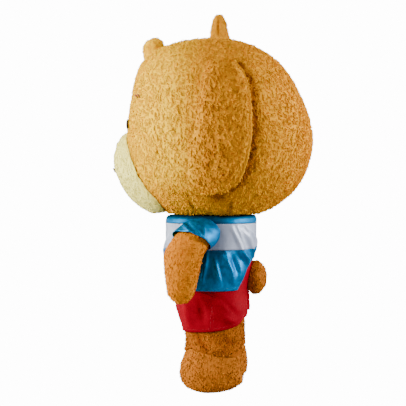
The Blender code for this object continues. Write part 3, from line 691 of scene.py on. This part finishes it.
def creasePaintedShade(axis, folds, depth):
    # painted shade: the pile is painted darker in the creases
    troughs = [{**fold, "rise": depth, "width": creaseWidth * fold["width"]} for fold in folds if fold["rise"] < 0]

    def paintedLightAt(points):
        return -foldHeights(points, outFrom(points, axis), troughs)

    return paintedLightAt


def outerFaces(axis):
    def keep(middle, normal):
        return np.einsum("ij,ij->i", outFrom(middle, axis), normal) > outerLeast

    return keep


def allFaces(middle, normal):
    return np.ones(len(middle), bool)


# ---- thread: long floats on the face, and rows of small stitches along the hems
def threadLine(name, places, radius, material):
    curve = bpy.data.curves.new(name, "CURVE")
    curve.dimensions = "3D"
    curve.bevel_depth = radius
    curve.bevel_resolution = 2
    curve.use_fill_caps = True
    curve.resolution_u = 4
    line = curve.splines.new("BEZIER")
    line.bezier_points.add(len(places) - 1)
    for point, place in zip(line.bezier_points, places):
        point.co = place
        point.handle_left_type = point.handle_right_type = "AUTO"
    linkPiece(name, curve)
    bpy.ops.object.convert(target="MESH")
    bpy.ops.object.shade_smooth()
    return finishPiece(bpy.context.object, material)


hemStitch = {"inset": 0.016, "pitch": 0.0046, "length": 0.0034, "radius": 0.000728, "shoulder": 0.6, "lift": 0.2}
longestSpan = 0.02
stitchPattern = []  # a pointed end, two rings of four corners, a pointed end
for near, far in ((1, 2), (2, 3), (3, 4), (4, 1)):
    stitchPattern += [(0, far, near), (near, far, far + 4), (near, far + 4, near + 4), (near + 4, far + 4, 9)]


def hemPlaces(piece, origin, direction, steps=720, bins=72, reach=0.6):
    # places on the outside of a tube's wall, a little in from its free edge
    mesh = piece.data
    points = readVectors(mesh, "co")
    tree = BVHTree.FromPolygons([Vector(point) for point in points], [list(face.vertices) for face in mesh.polygons])
    along = Vector(direction).normalized()
    first = along.orthogonal().normalized()
    second = along.cross(first)
    away = points - np.array(origin)
    run = away @ np.array(along)
    angle = np.arctan2(away @ np.array(second), away @ np.array(first))
    index = ((angle + math.pi) / (2 * math.pi) * bins).astype(int) % bins
    edge = [run[index == i].max() if (index == i).any() else -math.inf for i in range(bins)]
    places = []
    for step in range(steps):
        turn = 2 * math.pi * step / steps
        cell = turn / (2 * math.pi) * bins - 0.5
        low, share = math.floor(cell) % bins, cell - math.floor(cell)
        ends = edge[low], edge[(low + 1) % bins]
        if min(ends) == -math.inf:
            places.append(None)
            continue
        depth = ends[0] + share * (ends[1] - ends[0]) - hemStitch["inset"]
        out = first * math.cos(turn - math.pi) + second * math.sin(turn - math.pi)
        spot, normal = tree.ray_cast(Vector(origin) + along * depth + out * reach, -out, reach)[:2]
        places.append((spot, normal) if spot is not None else None)
    return places


def stitchRow(name, piece, origin, direction, material):
    places = hemPlaces(piece, origin, direction)
    spots, ways, ups = [], [], []
    left = 0.0
    for start, end in zip(places, places[1:] + places[:1]):
        if start is None or end is None or (end[0] - start[0]).length > longestSpan:
            continue
        span = end[0] - start[0]
        while left < span.length:
            spots.append(start[0] + span * (left / span.length))
            ways.append(span.normalized())
            ups.append(start[1])
            left += hemStitch["pitch"]
        left -= span.length
    spots, ways, ups = (np.array(values) for values in (spots, ways, ups))
    across = np.cross(ups, ways)
    half = hemStitch["length"] / 2
    rings = [spots - ways * half]
    for shoulder in (-hemStitch["shoulder"], hemStitch["shoulder"]):
        for step in range(4):
            turn = math.pi / 4 + math.pi / 2 * step
            out = across * math.cos(turn) + ups * (math.sin(turn) + hemStitch["lift"])
            rings.append(spots + ways * (half * shoulder) + out * hemStitch["radius"])
    rings.append(spots + ways * half)
    made = linkPiece(name, repeatShape(name, rings, stitchPattern))
    bpy.ops.object.mode_set(mode="EDIT")
    bpy.ops.mesh.select_all(action="SELECT")
    bpy.ops.mesh.normals_make_consistent(inside=False)
    bpy.ops.object.mode_set(mode="OBJECT")
    return finishPiece(made, material)


# lines through the middle of each hollow
headAxis = ((0.0, 0.035, 0.18), (0.0, 0.035, 0.72))
torsoAxis = ((0.0, 0.0, -0.60), (0.0, 0.0, 0.10))
legAxes = {
    "left": ((0.133, 0.030, -0.90), (0.133, 0.030, -0.20)),
    "right": ((-0.133, 0.030, -0.90), (-0.133, 0.030, -0.20)),
}
armSpots = (
    (0.150, 0.000, -0.082), (0.278, -0.038, -0.100), (0.330, -0.067, -0.131), (0.352, -0.103, -0.196),
    (0.360, -0.111, -0.263), (0.362, -0.111, -0.326), (0.362, -0.113, -0.400),
)
armAxes = {"left": armSpots, "right": tuple((-x, y, z) for x, y, z in armSpots)}


# ---- head: two halves of plush over foam, with darts drawn in under the cheeks
headSettings = {
    "form": {"wave": 0.0035, "waveScale": 9.0, "inset": 0.006, "seed": 2},
    "level": 0.70, "toneSeed": 4,
    "earShade": 0.85, "earReach": 0.034, "muzzleShade": 0.70, "muzzleReach": 0.030, "dartShade": 0.60,
    "earGap": 0.01, "earStart": 0.05, "earSpan": 0.05, "chinTop": 0.34, "chinSpan": 0.12, "chinLeast": 0.15,
    "nap": {
        "density": 15500, "length": 0.016, "width": 0.0070, "sink": 0.0012, "room": 0.018, "comb": (0.0, 0.15, -1.0),
        "lean": 1.05, "stray": 0.45, "tone": (0.66, 1.06), "root": 0.84, "locks": 0.26, "gather": 0.45, "seed": 11,
    },
}
cheekDarts = (  # each width, rise and line
    (0.010, -0.012, ((-0.090, 0.115), (-0.066, 0.060), (-0.042, 0.008))),
    (0.008, -0.004, ((-0.200, 0.122), (-0.050, 0.112), (0.110, 0.120))),
    (0.010, -0.008, ((0.150, 0.085), (0.135, 0.045), (0.120, 0.006))),
)
napeDarts = (
    (0.010, -0.009, ((-0.130, 0.110), (-0.115, 0.060), (-0.100, 0.010))),
    (0.010, -0.009, ((0.135, 0.115), (0.120, 0.060), (0.102, 0.008))),
)
headFolds = foldRows("left", *cheekDarts) + foldRows("right", *cheekDarts) + foldRows("back", *napeDarts)
muzzleSolid = solidTree(["muzzle"])
headSolid = solidTree(["head_front", "head_back"])


earOutline = (  # height, front edge, back edge
    (0.120, -0.036, 0.090), (0.137, -0.070, 0.146), (0.168, -0.080, 0.188), (0.217, -0.078, 0.219),
    (0.279, -0.068, 0.238), (0.360, -0.054, 0.254), (0.442, -0.036, 0.261), (0.522, -0.020, 0.256),
    (0.612, -0.004, 0.248), (0.692, 0.012, 0.230), (0.747, 0.024, 0.196), (0.777, 0.036, 0.168), (0.800, 0.070, 0.112),
)
earRows, earFront, earBack = np.array(earOutline).T


def headToneAt(points):
    # the pile lies in shade behind and under each ear, along the muzzle and in the darts
    y, z = points[:, 1], points[:, 2]
    back = np.maximum(y - np.interp(z, earRows, earBack), 0)
    below = np.maximum(earRows[0] - headSettings["earGap"] - z, 0) + np.maximum(z - earRows[-1], 0)
    ear = np.exp(-(back ** 2 + below ** 2) / headSettings["earReach"] ** 2)
    behind = np.clip((y - np.interp(z, earRows, earFront) - headSettings["earStart"]) / headSettings["earSpan"], 0, 1)
    muzzle = 1 - gapTo(muzzleSolid, points, headSettings["muzzleReach"]) / headSettings["muzzleReach"]
    low = np.clip((headSettings["chinTop"] - z) / headSettings["chinSpan"], headSettings["chinLeast"], 1)
    darts = creasePaintedShade(headAxis, headFolds, headSettings["dartShade"])(points)
    return darts - headSettings["earShade"] * ear * behind - headSettings["muzzleShade"] * muzzle * low


def makeHead():
    for index, place in enumerate(("Front", "Back")):
        node = "head_" + place.lower()
        base = nodeCopy("head" + place + "Plush", node)
        shapeCloth(base, headAxis, headFolds, **headSettings["form"])
        coverPiece(base, node, "goldPlush", headSettings, outerFaces(headAxis), headToneAt, index)
    print("head made")


# ---- ears: flat stuffed flaps
earSettings = {
    "level": 0.40, "toneSeed": 5, "edgeAngle": 55.0,
    "rimLight": 0.60, "rimWidth": 0.024, "middleShade": 0.10, "roundWidth": 0.042, "roundDepth": 0.024,
    "rimDrop": 0.015, "middleFrom": 0.02, "middleSpan": 0.06,
    "nap": {
        "density": 16000, "length": 0.018, "width": 0.0070, "sink": 0.0020, "room": 0.012, "comb": (0.0, 0.05, -1.0),
        "lean": 1.02, "stray": 0.48, "tone": (0.10, 1.20), "root": 0.40, "locks": 0.28, "gather": 0.50, "seed": 21,
    },
}


def earRim(points):
    # how far in from the free edge each point lies
    back = np.interp(points[:, 2], earRows, earBack) - points[:, 1]
    return np.minimum(back, points[:, 2] - earRows[0] + earSettings["rimDrop"])


def earPaintedLight(points):
    # painted light: the pile is painted paler along the free edge, where a lamp from behind catches the rolled rim,
    # and painted shade makes the flap a little darker back from its front edge
    edge = np.exp(-((earRim(points) / earSettings["rimWidth"]) ** 2))
    inward = points[:, 1] - np.interp(points[:, 2], earRows, earFront) - earSettings["middleFrom"]
    middle = np.clip(inward / earSettings["middleSpan"], 0, 1)
    return earSettings["rimLight"] * edge - earSettings["middleShade"] * middle


def roundEar(piece, sign):
    # the stuffing thins towards the free edge, so the outer face rolls over
    points = readVectors(piece.data, "co")
    outer = np.clip(readVectors(piece.data, "normal")[:, 0] * sign, 0, 1)
    near = np.clip(1 - earRim(points) / earSettings["roundWidth"], 0, 1)
    points[:, 0] -= sign * earSettings["roundDepth"] * near ** 2 * outer
    setPoints(piece.data, points)


def makeEars():
    for index, side in enumerate(("left", "right")):
        node = "ear_" + side
        base = nodeCopy("ear" + side.title() + "Plush", node, edgeAngle=earSettings["edgeAngle"])
        roundEar(base, 1 if side == "left" else -1)
        coverPiece(base, node, "goldPlush", earSettings, allFaces, earPaintedLight, index)
    print("ears made")


# ---- muzzle: a stuffed pad in short cream plush, with a stitched mouth
muzzleSettings = {
    "level": 0.6, "toneSeed": 6, "edgeShade": 0.50, "edgeReach": 0.022,
    "mouthFrom": 0.352, "mouthTo": 0.255, "smile": ((0.0, 0.255), (0.030, 0.236), (0.066, 0.234), (0.094, 0.252)),
    "thread": 0.0042, "proud": 0.0035,
    "nap": {
        "density": 19000, "length": 0.010, "width": 0.0052, "sink": 0.001, "room": 0.010, "comb": (0.0, 0.4, -1.0),
        "lean": 1.0, "stray": 0.8, "tone": (0.45, 1.10), "root": 0.60, "locks": 0.25, "gather": 0.35, "seed": 31,
    },
}


def muzzlePaintedShade(points):
    # painted shade: the muzzle pile is painted darker where it meets the head
    reach = muzzleSettings["edgeReach"]
    return -muzzleSettings["edgeShade"] * (1 - gapTo(headSolid, points, reach) / reach)


def makeMuzzle():
    base = nodeCopy("muzzlePlush", "muzzle")
    coverPiece(base, "muzzle", "creamPlush", muzzleSettings, allFaces, muzzlePaintedShade)

    def onFront(x, z):
        spot, normal = muzzleSolid.ray_cast(Vector((x, -1.0, z)), Vector((0, 1, 0)))[:2]
        return spot + normal * muzzleSettings["proud"]

    thread = muzzleSettings["thread"]
    heights = np.linspace(muzzleSettings["mouthFrom"], muzzleSettings["mouthTo"], 8)
    threadLine("mouthLine", [onFront(0.0, z) for z in heights], thread, "mouthThread")
    smile = muzzleSettings["smile"]
    xs = np.linspace(0, smile[-1][0], 12)
    zs = np.interp(xs, *zip(*smile))
    for side, sign in (("Left", 1), ("Right", -1)):
        threadLine("mouth" + side, [onFront(sign * x, z) for x, z in zip(xs, zs)], thread, "mouthThread")
    print("muzzle made")


# ---- tufts: two stuffed lobes over the forehead and a leaf on the crown
tuftSettings = {
    "forelock": [(0.006, -0.008, ((-0.331, 0.935), (-0.333, 0.885)))],
    "crown_tuft": [(0.006, -0.005, ((0.043, 1.080), (0.046, 0.955)))],
    "inset": 0.001, "creaseShade": 0.7, "level": 0.5, "toneSeed": 7, "axisDrops": (0.05, 0.02),
    "nap": {
        "density": 24000, "length": 0.010, "width": 0.0050, "sink": 0.001, "room": 0.010, "comb": (0.0, 0.1, -1.0),
        "lean": 1.0, "stray": 0.7, "tone": (0.35, 1.10), "root": 0.50, "locks": 0.25, "gather": 0.40, "seed": 41,
    },
}


def makeTufts():
    for index, (name, node) in enumerate((("forelock", "forelock"), ("crownTuft", "crown_tuft"))):
        base = nodeCopy(name + "Plush", node)
        low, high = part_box(node)
        middle = (low + high) / 2
        lowDrop, highDrop = tuftSettings["axisDrops"]
        axis = ((middle.x, middle.y, low.z - lowDrop), (middle.x, middle.y, high.z - highDrop))
        folds = foldRows("left", *tuftSettings[node]) + foldRows("right", *tuftSettings[node])
        shapeCloth(base, axis, folds, inset=tuftSettings["inset"])
        creases = creasePaintedShade(axis, folds, tuftSettings["creaseShade"])
        coverPiece(base, node, "goldPlush", tuftSettings, allFaces, creases, index)
    print("tufts made")


# ---- eyes, nose and brows
faceSettings = {
    "browThread": 0.0034, "browProud": 0.004,
    "brows": (((0.318, -0.372, 0.627), (0.331, -0.358, 0.622), (0.345, -0.341, 0.608)),
              ((0.343, -0.349, 0.626), (0.355, -0.336, 0.621), (0.367, -0.321, 0.606))),
}


def makeFace():
    for side, sign in (("left", 1), ("right", -1)):
        eye = nodeCopy("eye" + side.title(), "eye_" + side)
        finishPiece(eye, "eyeGloss", "eye_" + side)
        for index, brow in enumerate(faceSettings["brows"]):
            places = []
            for x, y, z in brow:
                spot, normal = headSolid.find_nearest(Vector((sign * x, y, z)))[:2]
                places.append(spot + normal * faceSettings["browProud"])
            threadLine("brow" + side.title() + str(index + 1), places, faceSettings["browThread"], "browThread")
    nose = nodeCopy("noseFelt", "nose")
    finishPiece(nose, "noseFelt", "nose")
    print("face made")


# ---- arms, suit, legs, feet and tail
limbSettings = {
    "arm": {"form": {"wave": 0.003, "waveScale": 14.0, "inset": 0.008}, "seed": 51, "shade": 0.0},
    "leg": {"form": {"wave": 0.004, "waveScale": 12.0, "inset": 0.006}, "seed": 61, "shade": 0.24},
    "foot": {"form": {"wave": 0.003, "waveScale": 10.0, "inset": 0.006}, "seed": 71, "shade": 0.0},
    "suit": {"wave": 0.001, "waveScale": 12.0, "seed": 81, "level": 0.4},
    "tail": {"level": 0.3, "toneSeed": 91, "nap": {"room": 0.012, "seed": 91}},
    "level": 0.38, "creaseShade": 0.45, "bareSole": 0.03, "soleFacing": -0.6,
    "nap": {
        "density": 17000, "length": 0.011, "width": 0.0060, "sink": 0.0012, "room": 0.020, "comb": (0.0, 0.0, -1.0),
        "lean": 1.06, "stray": 0.45, "tone": (0.25, 1.05), "root": 0.45, "locks": 0.28, "gather": 0.45,
    },
}
legFolds = (
    (0.022, 0.012, ((-0.005, -0.646), (0.047, -0.698), (0.125, -0.719))),
    (0.012, -0.010, ((-0.057, -0.615), (-0.030, -0.655), (0.010, -0.700))),
    (0.012, -0.006, ((0.090, -0.640), (0.130, -0.665), (0.160, -0.665))),
)


def makeLimb(part, side, axis, folds, material):
    settings = limbSettings[part]
    node, name = part + "_" + side, part + side.title()
    seed = settings["seed"] + (side == "right")
    base = nodeCopy(name + "Plush", node)
    shapeCloth(base, axis, folds, seed=seed, **settings["form"])
    creases = creasePaintedShade(axis, folds, limbSettings["creaseShade"])
    outer = outerFaces(axis)

    def paintedLightAt(points):
        # painted shade: the pile is painted darker in the creases, and the legs are painted darker all over, where the
        # shorts shade them
        return creases(points) - settings["shade"]

    def keep(middle, normal):
        sole = (normal[:, 2] < limbSettings["soleFacing"]) & (middle[:, 2] < soleHeight + limbSettings["bareSole"])
        return outer(middle, normal) & ~sole

    pile = {**limbSettings["nap"], "seed": seed}
    look = {"level": limbSettings["level"], "toneSeed": seed, "nap": pile}
    return base, coverPiece(base, node, material, look, keep, paintedLightAt)


def makeLimbs():
    for side in ("left", "right"):
        arm, nap = makeLimb("arm", side, armAxes[side], [], "amberPlush")
        leg, nap = makeLimb("leg", side, legAxes[side], foldRows(side, *legFolds), "tanPlush")
        foot, nap = makeLimb("foot", side, legAxes[side], [], "tanPlush")
    suitForm = limbSettings["suit"]
    for index, place in enumerate(("Front", "Back")):
        node = "suit_" + place.lower()
        suit = nodeCopy("suit" + place + "Plush", node, 1)
        shapeCloth(suit, torsoAxis, [], suitForm["wave"], suitForm["waveScale"], seed=suitForm["seed"] + index)
        plushTone(suit, suitForm["level"], suitForm["seed"])
        finishPiece(suit, "goldPlush", node)
    tail = nodeCopy("tailPlush", "tail")
    pile = {**limbSettings["nap"], **limbSettings["tail"]["nap"]}
    coverPiece(tail, "tail", "tanPlush", {**limbSettings["tail"], "nap": pile}, allFaces)
    print("arms, suit, legs, feet and tail made")


# ---- T-shirt: six panels and two sleeves, with creases that run on across the seams
shirtSettings = {
    "form": {"wave": 0.0018, "waveScale": 16.0, "seed": 3, "gain": 1.6},
    "sleeve": {"wave": 0.0015, "waveScale": 22.0, "seed": 8, "gain": 1.6},
    "sleeveFineness": 3, "neckShade": 0.045, "armShade": 0.110, "armGain": 1.25, "shade": 0.80,
    "middle": (0, 0, -0.3),
    "offRise": 0.9, "offShift": (-0.012, 0.010),  # how the folds of the side that doesn't show differ
}
sideFolds = (
    (0.010, 0.008, ((0.130, -0.052), (0.172, -0.147), (0.209, -0.251))),
    (0.008, 0.006, ((0.162, -0.052), (0.193, -0.152), (0.214, -0.220))),
    (0.008, 0.006, ((0.205, -0.059), (0.230, -0.142))),
    (0.014, 0.013, ((0.099, -0.189), (0.115, -0.246), (0.131, -0.293), (0.146, -0.380))),
    (0.011, 0.007, ((0.047, -0.225), (0.058, -0.272), (0.079, -0.365))),
    (0.022, 0.011, ((0.162, -0.235), (0.170, -0.290), (0.167, -0.350))),
    (0.009, -0.007, ((0.135, -0.205), (0.150, -0.260), (0.158, -0.300))),
    (0.010, 0.008, ((0.170, -0.180), (0.196, -0.220), (0.216, -0.260))),
    (0.010, 0.006, ((0.010, -0.180), (0.000, -0.260), (-0.020, -0.360))),
    (0.012, 0.006, ((-0.070, -0.200), (-0.085, -0.280), (-0.110, -0.380))),
)
frontFolds = (
    (0.012, 0.010, ((0.175, -0.090), (0.120, -0.190), (0.095, -0.300))),
    (0.010, 0.007, ((0.150, -0.120), (0.085, -0.230), (0.060, -0.370))),
    (0.012, 0.009, ((-0.180, -0.080), (-0.130, -0.170), (-0.110, -0.270))),
    (0.010, 0.007, ((-0.140, -0.140), (-0.070, -0.260), (-0.055, -0.360))),
    (0.016, 0.008, ((0.020, -0.200), (0.005, -0.290), (-0.010, -0.390))),
    (0.010, 0.006, ((0.190, -0.240), (0.165, -0.310), (0.160, -0.385))),
    (0.010, 0.006, ((-0.195, -0.220), (-0.175, -0.300), (-0.150, -0.385))),
)
backFolds = (
    (0.012, 0.010, ((0.180, -0.080), (0.120, -0.160), (0.050, -0.225))),
    (0.010, 0.007, ((0.160, -0.060), (0.090, -0.120), (0.030, -0.160))),
    (0.012, 0.009, ((-0.175, -0.070), (-0.110, -0.150), (-0.045, -0.215))),
    (0.010, 0.007, ((-0.150, -0.100), (-0.100, -0.180), (-0.090, -0.240))),
    (0.012, 0.008, ((0.200, -0.180), (0.160, -0.240), (0.120, -0.270))),
    (0.012, 0.008, ((-0.205, -0.170), (-0.170, -0.230), (-0.125, -0.265))),
)
offY, offZ = shirtSettings["offShift"]
offSideFolds = [
    (width, shirtSettings["offRise"] * rise, [(y + offY, z + offZ) for y, z in line])
    for width, rise, line in sideFolds
]
shirtFolds = (
    foldRows("left", *sideFolds) + foldRows("right", *offSideFolds)
    + foldRows("front", *frontFolds) + foldRows("back", *backFolds)
)
sleeveLines = (
    (0.008, 0.007, ((-0.103, -0.012), (-0.042, -0.037), (-0.007, -0.057))),
    (0.008, 0.008, ((-0.128, -0.027), (-0.078, -0.062), (-0.032, -0.112))),
    (0.008, 0.007, ((-0.088, -0.027), (-0.032, -0.067), (0.013, -0.122))),
    (0.008, 0.007, ((-0.002, -0.047), (0.008, -0.092), (0.018, -0.127))),
    (0.009, 0.006, ((-0.143, -0.002), (-0.128, -0.037), (-0.158, -0.062))),
    (0.006, -0.005, ((-0.115, -0.018), (-0.060, -0.050), (-0.015, -0.085))),
)
shirtPanels = (  # part, cloth, fineness and flat size
    ("Yoke", "blueSatin", 2, (0.80, 0.085)),
    ("Hoop", "whiteSatin", 3, (0.80, 0.137)),
    ("Hem", "blueSatin", 3, (0.80, 0.215)),
)
armSolids = solidTree(["arm_left", "arm_right"])


def shadeCloth(piece):
    # painted shade: the cloth is painted darker close under the head and beside the arms, where their shadows fall
    points = readVectors(piece.data, "co")
    neck, arms = shirtSettings["neckShade"], shirtSettings["armShade"]
    under = np.clip((points[:, 2] + neck) / neck, 0, 1)
    beside = np.clip(shirtSettings["armGain"] * (1 - gapTo(armSolids, points, arms) / arms), 0, 1)
    setShade(piece.data, "clothShade", shirtSettings["shade"] * np.maximum(under, beside))


def makePanel(part, place, cloth, fineness):
    node = "shirt_" + part.lower() + "_" + place.lower()
    panel = nodeCopy("shirt" + part + place, node, fineness)
    shapeCloth(panel, torsoAxis, shirtFolds, **shirtSettings["form"])
    shadeCloth(panel)
    finishPiece(panel, cloth, node)
    if part == "Hem":
        sewn = [stitchRow("shirtHemStitches" + place, panel, shirtSettings["middle"], (0, 0, -1), "blueThread")]


def makeShirt():
    for part, cloth, fineness, flat in shirtPanels:
        makePanel(part, "Front", cloth, fineness)
        makePanel(part, "Back", cloth, fineness)
    for side in ("left", "right"):
        sleeve = nodeCopy("sleeve" + side.title(), "sleeve_" + side, shirtSettings["sleeveFineness"])
        shapeCloth(sleeve, armAxes[side], foldRows(side, *sleeveLines), **shirtSettings["sleeve"])
        finishPiece(sleeve, "blueSatin", "sleeve_" + side)
        middle, end = (Vector(spot) for spot in armAxes[side][1:3])
        stitches = stitchRow("sleeveStitches" + side.title(), sleeve, middle, end - middle, "blueThread")
    print("shirt made")


# ---- shorts
shortsSettings = {"middle": 0.4, "form": {"wave": 0.0022, "waveScale": 10.0, "seed": 12, "gain": 2.5}}
shortsLines = (
    (0.014, -0.007, ((-0.010, -0.395), (0.043, -0.423), (0.095, -0.459))),
    (0.013, -0.006, ((0.053, -0.410), (0.116, -0.470), (0.168, -0.522))),
    (0.018, -0.005, ((-0.040, -0.430), (-0.020, -0.500), (-0.009, -0.570))),
    (0.016, 0.006, ((0.020, -0.400), (0.075, -0.440), (0.140, -0.490))),
    (0.016, 0.006, ((0.060, -0.500), (0.110, -0.540), (0.160, -0.560))),
    (0.020, 0.007, ((-0.110, -0.420), (-0.095, -0.500), (-0.080, -0.590))),
)
shortsFront = (
    (0.016, 0.008, ((0.060, -0.420), (0.100, -0.490), (0.130, -0.590))),
    (0.016, 0.008, ((-0.055, -0.410), (-0.095, -0.490), (-0.140, -0.585))),
    (0.012, -0.006, ((0.012, -0.430), (0.050, -0.480), (0.080, -0.500))),
    (0.012, -0.006, ((-0.014, -0.440), (-0.055, -0.485), (-0.090, -0.500))),
)


def makeShorts():
    for side in ("left", "right"):
        node = "shorts_" + side
        half = nodeCopy("shorts" + side.title(), node)
        folds = foldRows(side, *shortsLines) + foldRows("front", *shortsFront) + foldRows("back", *shortsFront)
        shapeCloth(half, legAxes[side], folds, **shortsSettings["form"])
        finishPiece(half, "redSatin", node)
        middle = Vector(legAxes[side][0]) + Vector((0, 0, shortsSettings["middle"]))
        stitches = stitchRow("shortsStitches" + side.title(), half, middle, (0, 0, -1), "redThread")
    print("shorts made")


makeHead()
makeEars()
makeMuzzle()
makeTufts()
makeFace()
makeLimbs()
makeShirt()
makeShorts()
